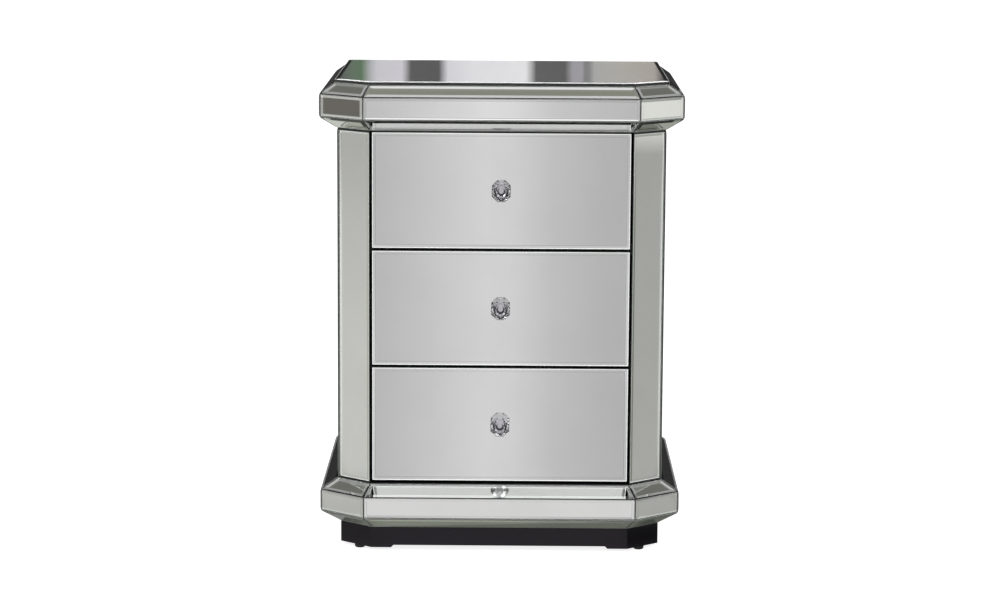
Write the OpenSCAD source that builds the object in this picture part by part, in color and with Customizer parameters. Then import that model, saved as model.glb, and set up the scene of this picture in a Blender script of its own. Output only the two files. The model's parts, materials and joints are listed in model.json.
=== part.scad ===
// Mirrored bedside chest: three drawers between cut corners, under a moulded top and over a moulded
// base on a dark plinth. Every outer face is a bevelled mirror plate bedded on a board.
// Millimetres. The front faces -Y, +Z is up, and the origin is on the floor under the middle.

/* [Case] */
// Overall width, across the top and base mouldings
case_w = 584; // [540:1:640]
// Overall depth, from the front moulding to the flat back
case_d = 450; // [400:1:500]
// Overall height, to the upper face of the top plate
case_h = 764; // [720:1:820]
// How far a cut corner reaches along the front
corner_w = 73; // [60:0.5:80]
// How far a cut corner reaches along the side
corner_d = 57.5; // [50:0.5:64]
// How far the case walls stand back from the mouldings
body_inset = 28; // [26:0.5:34]

/* [Mirror plates] */
// Thickness of the plates on the mouldings and walls
mirror_t = 4; // [3:0.5:5]
// Open seam between two plates
seam = 2; // [1:0.1:2.5]
// Width of the bevel on the moulding plates
strip_bevel_w = 5; // [3:0.5:6]
// Width of the bevel on the drawer, pilaster and side plates
panel_bevel_w = 6; // [4:0.5:10]
// Depth of every bevel at the rim
bevel_drop = 0.9; // [0.6:0.1:1.6]
// Thickness of the plate on top
top_glass_t = 4.5; // [4:0.5:6]
// Width of the bevel round the plate on top
top_bevel_w = 7; // [5:0.5:14]

/* [Top moulding] */
// Height of the slope above the band
top_slope_h = 17.5; // [14:0.5:24]
// How far the upper slope leans in
top_slope_in = 25; // [20:0.5:28]
// Height of the upright band
top_band_h = 38.5; // [30:0.5:48]
// Height of the slope under the band
top_under_h = 18.5; // [14:0.5:26]
// Thickness of the board under the top plate
top_board_t = 12; // [9:0.5:18]

/* [Base moulding] */
// Height of the slope above the base band
base_slope_h = 16.5; // [12:0.5:22]
// Height of the base band
base_band_h = 37; // [30:0.5:46]
// Height of the slope under the base band
base_under_h = 21; // [16:0.5:26]
// How far the plinth stands back from the mouldings
plinth_inset = 33; // [30:0.5:36]

/* [Plinth and glides] */
// Height of the plinth boards
plinth_h = 33; // [26:1:44]
// Thickness of the plinth boards
plinth_t = 18; // [15:0.5:22]
// Height of the shallow recess under each board
recess_h = 4; // [2:0.5:8]
// Length of board left standing at each end of a recess
recess_end = 36; // [24:1:50]
// Height of the glides under the plinth
glide_h = 6; // [4:0.5:10]
// Diameter of a glide
glide_dia = 17; // [14:0.5:17]

/* [Case boards] */
// Thickness of the side boards
side_t = 15; // [12:0.5:18]
// Thickness of the back
back_t = 5; // [3:0.5:8]
// Thickness of the case floor
floor_t = 15; // [12:0.5:15]
// Depth of the corner posts, front to back, beside the drawers
post_depth = 58; // [50:1:70]
// Height of the rails between the drawers
rail_h = 18; // [12:0.5:22]
// Depth of the rails between the drawers
rail_depth = 45; // [30:1:60]

/* [Drawers] */
// Gap beside each drawer front
side_gap = 3.5; // [2:0.5:6]
// Gap between two drawer fronts
front_gap = 4; // [2:0.5:6]
// Gap over the top drawer front
head_gap = 1.5; // [1:0.5:4]
// Gap under the bottom drawer front
foot_gap = 5; // [3:0.5:8]
// Thickness of the board behind a drawer mirror
front_t = 16; // [12:0.5:20]
// Gap between a shut drawer front and the rails
stop_gap = 0.3; // [0.2:0.1:1]
// Step from the edges of the front to the edges of the box sides
box_step = 14; // [12:0.5:20]
// Thickness of the box sides and back
box_t = 12; // [9:0.5:15]
// Room between the drawer box and the case back
back_room = 17; // [5:1:40]
// Thickness of the drawer bottom
bottom_t = 5; // [3:0.5:6]
// Height of the bottom above the lower edge of the sides
bottom_up = 10; // [8:0.5:16]
// Depth of the groove that holds the bottom
groove_d = 6; // [4:0.5:7]
// Play of the bottom in its groove
groove_play = 0.2; // [0.1:0.1:0.4]

/* [Slides] */
// Distance of the slides behind the drawer front board
slide_setback = 2; // [1:1:6]
// Distance that the slides stop short of the box's back edge
slide_short = 28; // [10:1:40]
// Height of a slide
slide_h = 45; // [36:1:50]
// Thickness of a slide, closed
slide_t = 12.7; // [12:0.1:14]
// Sheet thickness of the slide channels
slide_gauge = 1.3; // [1:0.1:1.5]
// Running play between two channels
slide_play = 0.3; // [0.2:0.1:0.4]
// Distance that the battens stop short of the back
batten_short = 10; // [5:1:30]

/* [Knobs] */
// Diameter of the cut crystal, across its flats
knob_dia = 30; // [24:0.5:34]
// How far a knob stands out of the mirror
knob_out = 27.5; // [24:0.5:28]
// Number of main facets round the crystal
knob_facets = 8; // [6:1:10]
// Diameter of the metal rose on the mirror
rose_dia = 19; // [16:0.5:22]
// Thickness of the rose
rose_t = 1.6; // [1:0.1:2.5]
// Diameter of the neck
neck_dia = 9; // [7:0.5:11]
// Length of the neck and the cup that holds the crystal
neck_len = 6; // [4:0.5:8]
// Diameter of the cup
cup_dia = 13; // [11:0.5:15]
// Metal left in the cup between the screw and the crystal
cup_web = 1.6; // [1:0.1:2]
// Diameter of the machine screw
screw_dia = 4; // [3:0.5:5]
// Clearance of the screw in the board and mirror, on the radius
screw_play = 0.3; // [0.2:0.1:0.6]
// Clearance of the screw in the neck, on the radius
thread_play = 0.05; // [0.02:0.01:0.1]
// Diameter of the screw head inside the drawer
head_dia = 9; // [7:0.5:11]
// Height of the screw head
head_h = 2.6; // [2:0.1:3.5]

/* [Hidden] */
$fn = 48;
drawer_count = 3;
half_w = case_w / 2;
half_d = case_d / 2;
turn = atan2(corner_d, corner_w);
front_mitre = tan(turn / 2);
side_mitre = tan((90 - turn) / 2);
core_w = body_inset + mirror_t + side_t;

// Levels, from the floor up
plinth_z = glide_h;
base_z = plinth_z + plinth_h;
base_band_z = base_z + base_under_h;
base_slope_z = base_band_z + base_band_h;
body_z = base_slope_z + base_slope_h;
bed_z = case_h - top_glass_t;
top_slope_z = bed_z - top_slope_h;
top_band_z = top_slope_z - top_band_h;
head_z = top_band_z - top_under_h;

// Facets run round the piece from the left side to the right side
SIDE_LEFT = 0;
CORNER_LEFT = 1;
FRONT = 2;
CORNER_RIGHT = 3;
SIDE_RIGHT = 4;

// Outline of the piece, moved in by inset, from the back left to the back right. The back stays flat.
function outline(inset) = [
    [-half_w + inset, half_d],
    [-half_w + inset, -half_d + corner_d + inset * side_mitre],
    [-half_w + corner_w + inset * front_mitre, -half_d + inset],
    [half_w - corner_w - inset * front_mitre, -half_d + inset],
    [half_w - inset, -half_d + corner_d + inset * side_mitre],
    [half_w - inset, half_d]
];

function unit(v) = v / norm(v);
function left_of(v) = [-v[1], v[0]];
function along(facet) = unit(outline(0)[facet + 1] - outline(0)[facet]);
function is_rear(vertex) = vertex == 0 || vertex == 5;

// A point at one end of a facet, moved in by inset and along the facet by a shift. Rear ends stay put.
function facet_point(facet, end, inset, z, shift = 0) =
    let (vertex = facet + end,
         move = is_rear(vertex) ? 0 : (end == 0 ? shift : -shift),
         p = outline(inset)[vertex] + move * along(facet))
    [p[0], p[1], z];

// Profiles are lists of [inset, height], from the upper edge to the lower one
top_profile = [
    [top_slope_in, bed_z], [0, top_slope_z], [0, top_band_z], [body_inset, head_z]
];
base_profile = [
    [body_inset, body_z], [0, base_slope_z], [0, base_band_z], [plinth_inset, base_z]
];
wall_profile = [[body_inset, head_z - seam / 2], [body_inset, body_z + seam / 2]];
SLOPE = 0;
BAND = 1;
UNDER = 2;

function run(profile, j) = unit(profile[j + 1] - profile[j]);
function inward(profile, j) = left_of(run(profile, j));

// The profile moved in by a distance t, with mitred corners and square ends
function backed(profile, t) = [
    for (j = [0:len(profile) - 1])
        let (a = inward(profile, max(j - 1, 0)),
             b = inward(profile, min(j, len(profile) - 2)))
        profile[j] + t * (a + b) / (1 + a * b)
];

// Solid through a stack of rings with the same number of points, back ring first. Each ring runs
// anticlockwise, seen from the last ring.
module ring_stack(rings) {
    n = len(rings[0]);
    last = len(rings) - 1;
    points = [for (ring = rings) each ring];
    walls = [
        for (r = [0:last - 1], i = [0:n - 1])
            let (next = (i + 1) % n)
            [r * n + i, (r + 1) * n + i, (r + 1) * n + next, r * n + next]
    ];
    back = [for (i = [0:n - 1]) i];
    front = [for (i = [n - 1:-1:0]) last * n + i];
    polyhedron(points = points, faces = concat([back], walls, [front]), convexity = 4);
}

// A ring moved in by w in its own plane
function drawn_in(ring, w) = [
    for (i = [0:len(ring) - 1])
        let (n = len(ring),
             to_last = unit(ring[(i + n - 1) % n] - ring[i]),
             to_next = unit(ring[(i + 1) % n] - ring[i]))
        ring[i] + w / norm(cross(to_last, to_next)) * (to_last + to_next)
];

// Mirror plate between the ring of its face and the ring of its back, the rim ground to a bevel
module bevelled_plate(face, bed, bevel_w, t = mirror_t) {
    rim = [for (i = [0:len(face) - 1]) face[i] + (bed[i] - face[i]) * bevel_drop / t];
    ring_stack([bed, rim, drawn_in(face, bevel_w)]);
}

// Four corners of a strip on one facet, anticlockwise seen from outside
function facet_ring(facet, upper, lower) = [
    facet_point(facet, 0, lower[0], lower[1], seam / 2),
    facet_point(facet, 1, lower[0], lower[1], seam / 2),
    facet_point(facet, 1, upper[0], upper[1], seam / 2),
    facet_point(facet, 0, upper[0], upper[1], seam / 2)
];

// Rings of the face and the back of the plate on segment j of a profile
function plate_rings(profile, j, facet) =
    let (behind = backed(profile, mirror_t),
         gap = run(profile, j) * seam / 2,
         upper_gap = j == 0 ? 0 * gap : gap,
         lower_gap = j == len(profile) - 2 ? 0 * gap : gap)
    [for (line = [profile, behind])
        facet_ring(facet, line[j] + upper_gap, line[j + 1] - lower_gap)];

module facet_plate(profile, j, facet, bevel_w) {
    rings = plate_rings(profile, j, facet);
    bevelled_plate(rings[0], rings[1], bevel_w);
}

// Strip of core moulding along one facet, from a closed section of [inset, height] points
module core_strip(section, facet) {
    ring_stack([
        for (end = [0, 1])
            [for (p = section) facet_point(facet, end, p[0], p[1])]
    ]);
}

module on_both_sides() {
    children();
    mirror([1, 0, 0]) children();
}

// Finishes
module mirrored() { color([0.80, 0.82, 0.82]) children(); }
module black_board() { color([0.10, 0.10, 0.11]) children(); }
module raw_board() { color([0.55, 0.44, 0.32]) children(); }
module drawer_board() { color([0.16, 0.15, 0.15]) children(); }
module drawer_wood() { color([0.76, 0.64, 0.46]) children(); }
module slide_steel() { color([0.62, 0.64, 0.66]) children(); }
module chrome() { color([0.78, 0.78, 0.80]) children(); }
module crystal() { color([0.86, 0.90, 0.94]) children(); }
module glide_plastic() { color([0.05, 0.05, 0.05]) children(); }

// One course of a moulding: a front plate, two corner plates and two side plates
module mirror_course(profile, j) {
    mirrored()
        for (facet = [SIDE_LEFT:SIDE_RIGHT])
            facet_plate(profile, j, facet, strip_bevel_w);
}

// The plate on top lies over the upper edge of the slopes
module top_mirror() {
    face = [for (p = outline(top_slope_in)) [p[0], p[1], case_h]];
    bed = [for (p = face) [p[0], p[1], bed_z]];
    mirrored() bevelled_plate(face, bed, top_bevel_w, top_glass_t);
}

// Pilaster plates cover the cut corners of the case and end square to the drawer opening
opening_half = outline(body_inset)[3][0];

// Corners of a pilaster ring that lie by the opening slide along the plate to its edge
function squared(ring, facet) =
    let (x = facet == CORNER_LEFT ? -opening_half : opening_half,
         by_opening = facet == CORNER_LEFT ? [1, 2] : [0, 3],
         dir = along(facet))
    [for (i = [0:3])
        let (p = ring[i],
             moves = i == by_opening[0] || i == by_opening[1])
        moves ? [x, p[1] + (x - p[0]) / dir[0] * dir[1], p[2]] : p];

module pilaster_mirror(facet) {
    rings = plate_rings(wall_profile, 0, facet);
    mirrored() bevelled_plate(squared(rings[0], facet), squared(rings[1], facet), panel_bevel_w);
}

module side_mirror(facet) {
    mirrored() facet_plate(wall_profile, 0, facet, panel_bevel_w);
}

// Sections of the core mouldings behind the plates, from the upper outer corner round to the inside
top_behind = backed(top_profile, mirror_t);
top_lean = run(top_profile, SLOPE);
top_shoulder = top_behind[0] + top_lean * (bed_z - top_behind[0][1]) / top_lean[1];
top_section = [
    top_shoulder, top_behind[1], top_behind[2], top_behind[3],
    [top_behind[3][0], head_z], [core_w, head_z], [core_w, bed_z]
];
base_behind = backed(base_profile, mirror_t);
base_section = [
    [base_behind[0][0], body_z], base_behind[0], base_behind[1], base_behind[2], base_behind[3],
    [base_behind[3][0], base_z], [core_w, base_z], [core_w, body_z]
];

module core_front(section) {
    black_board() core_strip(section, FRONT);
}

module core_corners(section) {
    black_board() {
        core_strip(section, CORNER_LEFT);
        core_strip(section, CORNER_RIGHT);
    }
}

module core_sides(section) {
    black_board() {
        core_strip(section, SIDE_LEFT);
        core_strip(section, SIDE_RIGHT);
    }
}

// Plan inside the core mouldings, back to a given line
module inside_core(back_y) {
    plan = outline(core_w);
    polygon([for (i = [0:5]) is_rear(i) ? [plan[i][0], back_y] : plan[i]]);
}

module top_board() {
    raw_board()
        translate([0, 0, bed_z - top_board_t]) linear_extrude(top_board_t) inside_core(half_d);
}

module case_floor() {
    black_board()
        translate([0, 0, body_z - floor_t]) linear_extrude(floor_t) inside_core(half_d - back_t);
}

// The back is let in between the side boards, from the underside of the base to the top board
module back_panel() {
    inner_half = half_w - core_w;
    raw_board()
        translate([-inner_half, half_d - back_t, base_z])
            cube([2 * inner_half, back_t, bed_z - top_board_t - base_z]);
}

// Corner posts and side boards stand between the core mouldings
wall_inset = body_inset + mirror_t;
body_h = head_z - body_z;
front_y = outline(body_inset)[3][1];
post_back = front_y + post_depth;

module corner_posts() {
    black_board()
        on_both_sides()
            translate([0, 0, body_z])
                linear_extrude(body_h)
                    intersection() {
                        polygon(outline(wall_inset));
                        translate([opening_half, -half_d]) square([half_w, half_d + post_back]);
                    }
}

module side_panels() {
    black_board()
        on_both_sides()
            translate([half_w - core_w, post_back, body_z]) cube([side_t, half_d - post_back, body_h]);
}

// Plinth boards, mitred at the cut corners and square at the back
module plinth_plan(facet) {
    a = outline(plinth_inset);
    b = outline(plinth_inset + plinth_t);
    polygon([a[facet], a[facet + 1], b[facet + 1], b[facet]]);
}

// Recess in the underside of a board of a given length, centred on the origin along X
module recess_cut(length) {
    half = length / 2 - recess_end;
    rotate([90, 0, 0])
        linear_extrude(3 * plinth_t, center = true)
            polygon([
                [-half - 2 * recess_h, -recess_h], [-half, recess_h],
                [half, recess_h], [half + 2 * recess_h, -recess_h]
            ]);
}

module plinth_front_board() {
    length = outline(plinth_inset)[3][0] * 2;
    black_board()
        difference() {
            translate([0, 0, plinth_z]) linear_extrude(plinth_h) plinth_plan(FRONT);
            translate([0, -half_d + plinth_inset + plinth_t / 2, plinth_z]) recess_cut(length);
        }
}

module plinth_corner_boards() {
    black_board()
        for (facet = [CORNER_LEFT, CORNER_RIGHT])
            translate([0, 0, plinth_z]) linear_extrude(plinth_h) plinth_plan(facet);
}

module plinth_side_boards() {
    a = outline(plinth_inset)[4];
    length = half_d - a[1];
    black_board()
        on_both_sides()
            difference() {
                translate([0, 0, plinth_z]) linear_extrude(plinth_h) plinth_plan(SIDE_RIGHT);
                translate([a[0] - plinth_t / 2, a[1] + length / 2, plinth_z])
                    rotate([0, 0, 90]) recess_cut(length);
            }
}

module plinth_back_board() {
    inner_half = half_w - plinth_inset - plinth_t;
    black_board()
        translate([-inner_half, half_d - plinth_t, plinth_z + recess_h])
            cube([2 * inner_half, plinth_t, plinth_h - recess_h]);
}

// Glides stand under the middle of the corner boards and under the back of the side boards
module glides() {
    mid = outline(plinth_inset + plinth_t / 2);
    spots = [(mid[3] + mid[4]) / 2, [mid[5][0], half_d - recess_end / 2]];
    rim = glide_dia / 2;
    ease = rim / 6;
    glide_plastic()
        on_both_sides()
            for (p = spots)
                translate([p[0], p[1], 0])
                    rotate_extrude()
                        polygon([
                            [0, 0], [rim - ease, 0], [rim, ease], [rim, glide_h], [0, glide_h]
                        ]);
}

// Drawer fronts share the height of the opening
front_w = 2 * (opening_half - side_gap);
front_h = (body_h - head_gap - foot_gap - (drawer_count - 1) * front_gap) / drawer_count;
board_y = front_y + mirror_t;
box_y = board_y + front_t;
box_len = half_d - back_t - back_room - box_y;
box_h = front_h - 2 * box_step;
box_half = opening_half - slide_t;

// Lower edge and middle of a drawer front, counted from the top drawer, 1
function front_z(n) = head_z - head_gap - n * front_h - (n - 1) * front_gap;
function middle_z(n) = front_z(n) + front_h / 2;

module drawer_rails() {
    black_board()
        for (n = [1:drawer_count - 1])
            translate([-opening_half, box_y + stop_gap, front_z(n) - front_gap / 2 - rail_h / 2])
                cube([2 * opening_half, rail_depth, rail_h]);
}

// Slides: three nested channels. Across the slide, x runs from the drawer to the case.
slide_y = box_y + slide_setback;
slide_len = box_len - slide_setback - slide_short;
channel_step = slide_gauge + slide_play;
channel_reach = slide_t - 2 * channel_step;

module channel(reach, height, web_first) {
    lip = 1;
    open_from = web_first ? slide_gauge : -lip;
    rotate([90, 0, 0])
        mirror([0, 0, 1])
            linear_extrude(slide_len)
                difference() {
                    translate([0, -height / 2]) square([reach, height]);
                    translate([open_from, slide_gauge - height / 2])
                        square([reach - slide_gauge + lip, height - 2 * slide_gauge]);
                }
}

module slide_pair(n) {
    on_both_sides() translate([box_half, slide_y, middle_z(n)]) children();
}

module case_channels() {
    inset = 2 * slide_gauge;
    slide_steel()
        for (n = [1:drawer_count])
            slide_pair(n) translate([inset, 0, 0]) channel(slide_t - inset, slide_h, false);
}

module middle_channels(n) {
    slide_steel()
        slide_pair(n)
            translate([channel_step, 0, 0])
                channel(channel_reach, slide_h - 2 * channel_step, false);
}

module drawer_channels(n) {
    slide_steel() slide_pair(n) channel(channel_reach, slide_h - 4 * channel_step, true);
}

// Battens carry the slides level with the side of the drawer opening
module slide_battens() {
    inner_face = half_w - core_w;
    length = half_d - back_t - batten_short - post_back;
    raw_board()
        for (n = [1:drawer_count])
            on_both_sides()
                translate([opening_half, post_back, middle_z(n) - slide_h / 2])
                    cube([inner_face - opening_half, length, slide_h]);
}

// Knobs and their holes are drawn standing up, from the mirror's face, and tipped to the front
module at_knob(n) {
    translate([0, front_y, middle_z(n)]) rotate([90, 0, 0]) children();
}

bed_depth = mirror_t + front_t;
crystal_z = rose_t + neck_len;
crystal_h = knob_out - crystal_z;
screw_tip = crystal_z - cup_web;

module screw_hole(n) {
    at_knob(n)
        translate([0, 0, -2 * bed_depth])
            cylinder(r = screw_dia / 2 + screw_play, h = 3 * bed_depth);
}

module drawer_mirror(n) {
    half = front_w / 2;
    z = front_z(n);
    face = [
        [-half, front_y, z], [half, front_y, z],
        [half, front_y, z + front_h], [-half, front_y, z + front_h]
    ];
    bed = [for (p = face) [p[0], board_y, p[2]]];
    mirrored()
        difference() {
            bevelled_plate(face, bed, panel_bevel_w);
            screw_hole(n);
        }
}

// The bottom slides in a groove round the sides, the back and the front board
groove_half = box_half - box_t + groove_d;
bottom_len = box_len - box_t + 2 * groove_d;

function bottom_z(n) = front_z(n) + box_step + bottom_up;

module groove(n) {
    translate([-groove_half - groove_play, box_y - groove_d - groove_play, bottom_z(n) - groove_play])
        cube([2 * (groove_half + groove_play), bottom_len + 2 * groove_play,
              bottom_t + 2 * groove_play]);
}

module drawer_front_board(n) {
    drawer_board()
        difference() {
            translate([-front_w / 2, board_y, front_z(n)]) cube([front_w, front_t, front_h]);
            screw_hole(n);
            groove(n);
        }
}

module drawer_sides(n) {
    drawer_wood()
        on_both_sides()
            difference() {
                translate([box_half - box_t, box_y, front_z(n) + box_step])
                    cube([box_t, box_len, box_h]);
                groove(n);
            }
}

module drawer_back(n) {
    half = box_half - box_t;
    drawer_wood()
        difference() {
            translate([-half, box_y + box_len - box_t, front_z(n) + box_step])
                cube([2 * half, box_t, box_h]);
            groove(n);
        }
}

module drawer_bottom(n) {
    raw_board()
        translate([-groove_half, box_y - groove_d, bottom_z(n)])
            cube([2 * groove_half, bottom_len, bottom_t]);
}

// Rose, neck and cup are turned in one piece, tapped from behind
module knob_rose(n) {
    cup_h = neck_len / 2;
    ease = rose_t / 2;
    chrome()
        at_knob(n)
            difference() {
                rotate_extrude()
                    polygon([
                        [0, 0], [rose_dia / 2, 0], [rose_dia / 2 - ease, rose_t],
                        [neck_dia / 2, rose_t], [neck_dia / 2, crystal_z - cup_h],
                        [cup_dia / 2, crystal_z], [0, crystal_z]
                    ]);
                translate([0, 0, -rose_t])
                    cylinder(r = screw_dia / 2 + thread_play, h = rose_t + screw_tip + thread_play);
            }
}

module knob_screw(n) {
    chrome()
        at_knob(n)
            translate([0, 0, -bed_depth])
                rotate_extrude()
                    polygon([
                        [0, -head_h], [head_dia / 4, -head_h], [head_dia / 2, -head_h / 2],
                        [head_dia / 2, 0], [screw_dia / 2, 0],
                        [screw_dia / 2, bed_depth + screw_tip], [0, bed_depth + screw_tip]
                    ]);
}

function ring_points(count, radius, z, start) = [
    for (i = [0:count - 1])
        let (a = start + 360 * i / count)
        [radius * cos(a), radius * sin(a), z]
];

// The cut is a stack of rings: heights are shares of the crystal, radii are shares of its corners
module knob_crystal(n) {
    half_step = 180 / knob_facets;
    r = knob_dia / 2 / cos(half_step);
    table = ring_points(knob_facets, 0.52 * r, crystal_h, half_step);
    crown = ring_points(knob_facets, 0.84 * r, 0.80 * crystal_h, 0);
    girdle_top = ring_points(knob_facets, r, 0.56 * crystal_h, half_step);
    girdle_foot = ring_points(knob_facets, r, 0.48 * crystal_h, half_step);
    pavilion = ring_points(knob_facets, 0.74 * r, 0.20 * crystal_h, 0);
    foot = ring_points(knob_facets, cup_dia / 2, 0, half_step);
    cut = concat(foot, pavilion, girdle_foot, girdle_top, crown, table);
    crystal()
        at_knob(n)
            translate([0, 0, crystal_z])
                hull() polyhedron(points = cut, faces = [[for (i = [0:len(cut) - 1]) i]]);
}

top_mirror();
mirror_course(top_profile, SLOPE);  // top_slope_mirrors
mirror_course(top_profile, BAND);  // top_band_mirrors
mirror_course(top_profile, UNDER);  // top_under_mirrors
core_front(top_section);  // top_core_front
core_corners(top_section);  // top_core_corners
core_sides(top_section);  // top_core_sides
top_board();
pilaster_mirror(CORNER_LEFT);  // pilaster_mirror_left
pilaster_mirror(CORNER_RIGHT);  // pilaster_mirror_right
side_mirror(SIDE_LEFT);  // side_mirror_left
side_mirror(SIDE_RIGHT);  // side_mirror_right
corner_posts();
side_panels();
back_panel();
drawer_rails();
slide_battens();
case_channels();
mirror_course(base_profile, SLOPE);  // base_slope_mirrors
mirror_course(base_profile, BAND);  // base_band_mirrors
mirror_course(base_profile, UNDER);  // base_under_mirrors
core_front(base_section);  // base_core_front
core_corners(base_section);  // base_core_corners
core_sides(base_section);  // base_core_sides
case_floor();
plinth_front_board();
plinth_corner_boards();
plinth_side_boards();
plinth_back_board();
glides();
for (n = [1:drawer_count]) {
    drawer_mirror(n);
    drawer_front_board(n);
    drawer_sides(n);
    drawer_back(n);
    drawer_bottom(n);
    drawer_channels(n);
    middle_channels(n);
    knob_rose(n);
    knob_screw(n);
    knob_crystal(n);
}
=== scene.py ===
"""Dresses the mirrored bedside chest: silvered plates with ground bevels, cut crystal knobs,
painted boards, drawer boxes on telescopic slides, and a pale studio round it."""

import json
import math

import bmesh
import bpy
from bpy.props import FloatProperty, FloatVectorProperty, PointerProperty
from mathutils import Matrix, Vector


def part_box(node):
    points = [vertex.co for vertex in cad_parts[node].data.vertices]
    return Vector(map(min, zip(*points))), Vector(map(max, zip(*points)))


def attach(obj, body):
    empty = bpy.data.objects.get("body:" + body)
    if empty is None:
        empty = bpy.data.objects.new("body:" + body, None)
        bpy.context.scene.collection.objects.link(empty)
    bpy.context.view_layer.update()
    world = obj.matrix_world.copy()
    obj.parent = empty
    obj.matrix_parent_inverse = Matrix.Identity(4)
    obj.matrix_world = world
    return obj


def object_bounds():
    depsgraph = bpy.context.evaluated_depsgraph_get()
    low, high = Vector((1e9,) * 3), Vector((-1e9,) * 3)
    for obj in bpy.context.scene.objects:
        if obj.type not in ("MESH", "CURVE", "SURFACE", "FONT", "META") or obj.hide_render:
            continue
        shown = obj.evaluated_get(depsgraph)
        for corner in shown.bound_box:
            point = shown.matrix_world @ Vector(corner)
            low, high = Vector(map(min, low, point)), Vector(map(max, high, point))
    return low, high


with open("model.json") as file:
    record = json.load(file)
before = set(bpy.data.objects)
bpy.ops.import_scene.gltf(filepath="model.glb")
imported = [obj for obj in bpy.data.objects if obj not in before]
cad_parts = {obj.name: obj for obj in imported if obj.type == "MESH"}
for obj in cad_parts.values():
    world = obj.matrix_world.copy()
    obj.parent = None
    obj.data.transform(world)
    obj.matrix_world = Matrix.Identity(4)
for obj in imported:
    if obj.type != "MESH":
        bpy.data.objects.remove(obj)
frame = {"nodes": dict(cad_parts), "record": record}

CAD_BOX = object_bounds()

bl_info = {
    "name": "Mirrored bedside chest",
    "version": (1, 0, 0),
    "blender": (4, 5, 0),
    "location": "3D View > Sidebar > Chest",
    "description": "Finishes, small fittings and studio for a chest faced in bevelled mirror",
    "category": "Object",
}

MM = 0.001
DRAWERS = (1, 2, 3)
DEGREES = 180 / math.pi
HALF_W, HALF_D, TOP_Z = Vector(CAD_BOX[1])


def scaled(shade, factor):
    """A colour made brighter or darker."""
    return tuple(factor * value for value in shade)


def colour(name, description, default):
    return FloatVectorProperty(
        name=name, description=description, default=default, size=3, min=0.0, max=1.0, subtype="COLOR")


def length(name, description, default):
    return FloatProperty(name=name, description=description, default=default, unit="LENGTH")


def angle(name, description, default):
    return FloatProperty(name=name, description=description, default=math.radians(default), subtype="ANGLE")


class ChestPlates(bpy.types.PropertyGroup):
    """Sizes and colours of the mirror plates."""
    corner_w: length("Corner width", "How far a cut corner reaches along the front", 73 * MM)
    corner_d: length("Corner depth", "How far a cut corner reaches along the side", 57.5 * MM)
    bevel_drop: length("Bevel drop", "Depth of every bevel at the rim", 0.9 * MM)
    seam: length("Seam", "Open seam between two plates", 2 * MM)
    coat: length("Coat", "Thickness of the silver and its paint", 0.08 * MM)
    glass: colour("Glass", "Tint of the glass", (0.985, 0.995, 0.985))
    silver: colour("Silver", "Colour of the silver behind the glass", (0.90, 0.905, 0.90))
    rim: colour("Rim", "Colour of the ground glass rim", (0.02, 0.028, 0.024))
    # Painted shade: this colour darkens a fine line where a bevel starts
    arris_shade: colour("Arris", "Tint of the fine line where a bevel starts", (0.55, 0.56, 0.55))
    # Painted highlight: this colour glows on the seamed edge of each bevel
    frosted_edge_glint: colour("Frost", "Glint of the seamed edge of a bevel", (0.35, 0.36, 0.35))
    # Painted light: the dust on the under-slope plates glows in this colour
    film_glow: colour("Film", "Glow of the dust film on the low plates", (0.085, 0.092, 0.075))


class ChestFinishes(bpy.types.PropertyGroup):
    """Colours of the boards and fittings."""
    black: colour("Black paint", "Paint on the boards that show between the plates", (0.016, 0.014, 0.017))
    board: colour("Fibreboard", "Bare board of the back and the battens", (0.42, 0.30, 0.19))
    birch: colour("Birch", "Wood of the drawer boxes", (0.66, 0.50, 0.33))
    steel: colour("Zinc", "Plating of the drawer slides", (0.60, 0.61, 0.63))
    chrome: colour("Chrome", "Plating of the knob roses", (0.80, 0.80, 0.82))
    crystal: colour("Crystal", "Tint of the cut crystal", (0.80, 0.80, 0.83))
    plinth: colour("Plinth", "Lacquer of the plinth", (0.005, 0.0042, 0.0055))
    screw: colour("Screw", "Yellow zinc of the screws", (0.62, 0.58, 0.48))
    # This black also paints shade over the slides' front ends, in the gaps between the drawers
    plastic: colour("Plastic", "Black plastic of the glides and slide stops", (0.012, 0.012, 0.012))
    foil: colour("Foil", "Silver foil behind the crystal", (0.80, 0.79, 0.82))


class ChestStudio(bpy.types.PropertyGroup):
    """Camera and floor."""
    camera_distance: length("Distance", "Camera distance in front of the chest's middle", 4.538)
    camera_height: length("Height", "Camera height over the floor", 1.160)
    camera_offset: length("Offset", "Camera offset to the right", 0.0176)
    pitch: angle("Pitch", "How far the camera looks down", 8.85)
    yaw: angle("Yaw", "How far the camera looks to the left", 0.211)
    roll: angle("Roll", "How far the camera leans to the left", 0.36)
    lens: FloatProperty(name="Lens", description="Focal length in millimetres", default=99.18)
    floor_size: length("Floor", "Side of the floor", 60.0)


def settings(name):
    return getattr(bpy.context.scene, name)


def link(tree, source, target):
    tree.links.new(source, target)


def put(tree, value, socket):
    """Feeds a socket from another socket or with a plain value."""
    if isinstance(value, bpy.types.NodeSocket):
        link(tree, value, socket)
    else:
        socket.default_value = value


def maths(tree, operation, *values, clamp=False):
    node = tree.nodes.new("ShaderNodeMath")
    node.operation = operation
    node.use_clamp = clamp
    for value, socket in zip(values, node.inputs):
        put(tree, value, socket)
    return node.outputs["Value"]


def vectors(tree, operation, *values):
    node = tree.nodes.new("ShaderNodeVectorMath")
    node.operation = operation
    for value, socket in zip(values, node.inputs):
        put(tree, value, socket)
    return node.outputs["Value" if operation in ("DOT_PRODUCT", "LENGTH") else "Vector"]


def split(tree, vector):
    node = tree.nodes.new("ShaderNodeSeparateXYZ")
    put(tree, vector, node.inputs[0])
    return node.outputs[0], node.outputs[1], node.outputs[2]


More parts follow.
